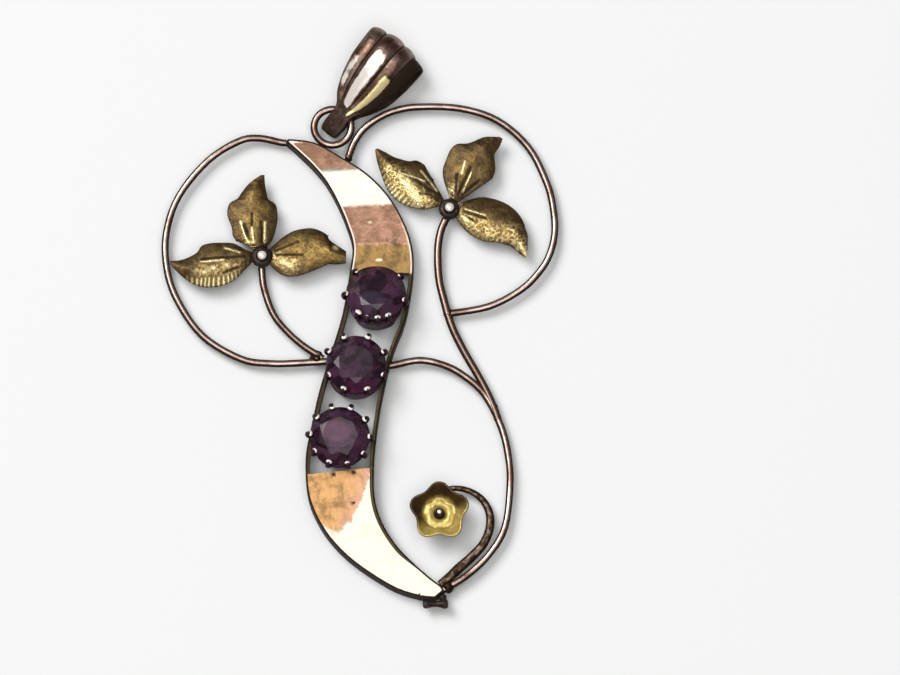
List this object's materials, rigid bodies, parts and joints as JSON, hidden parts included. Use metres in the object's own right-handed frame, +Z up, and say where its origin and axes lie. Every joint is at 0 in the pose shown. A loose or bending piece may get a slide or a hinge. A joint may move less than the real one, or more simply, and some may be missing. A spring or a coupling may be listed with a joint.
{
  "type": "stone-set scroll pendant with a swinging bail",
  "caption": "Flat openwork rose gold pendant: a ribbon with claw-set purple stones, wire scrolls, engraved leaf sprigs, a small blossom and a fluted bail swinging on a ring.",
  "frame": {"origin": "under the centre of the box, on the surface that the pendant lies on", "axes": "+Z up out of the pendant's front, +Y from the drop eye to the bail ring, +X to the right seen from the front"},
  "size_m": [0.0332, 0.0498, 0.004],
  "materials": {
    "rose_gold": "polished, worn",
    "yellow_gold": "matte, engraved",
    "dark_gold": "tarnished",
    "purple_stone": "faceted"
  },
  "bodies": {
    "pendant": {"ribbon_frame": "rose_gold", "collet_1": "dark_gold", "collet_2": "dark_gold", "collet_3": "dark_gold", "stone_1": "purple_stone", "stone_2": "purple_stone", "stone_3": "purple_stone", "left_scroll": "rose_gold", "right_scroll": "rose_gold", "left_leaf_1": "yellow_gold", "left_leaf_2": "yellow_gold", "left_leaf_3": "yellow_gold", "right_leaf_1": "yellow_gold", "right_leaf_2": "yellow_gold", "right_leaf_3": "yellow_gold", "left_bead": "dark_gold", "right_bead": "dark_gold", "blossom": "yellow_gold", "blossom_bead": "dark_gold", "blossom_stem": "dark_gold", "bail_ring": "rose_gold", "drop_eye": "dark_gold"},
    "bail": {"bail": "rose_gold"}
  },
  "joints": [
    {"name": "bail_swing", "type": "hinge", "parent": "pendant", "child": "bail", "pos_m": [0.00093, 0.01833, 0.00115], "axis": [0.6157, -0.788, 0], "range_deg": [-85, 85]}
  ]
}
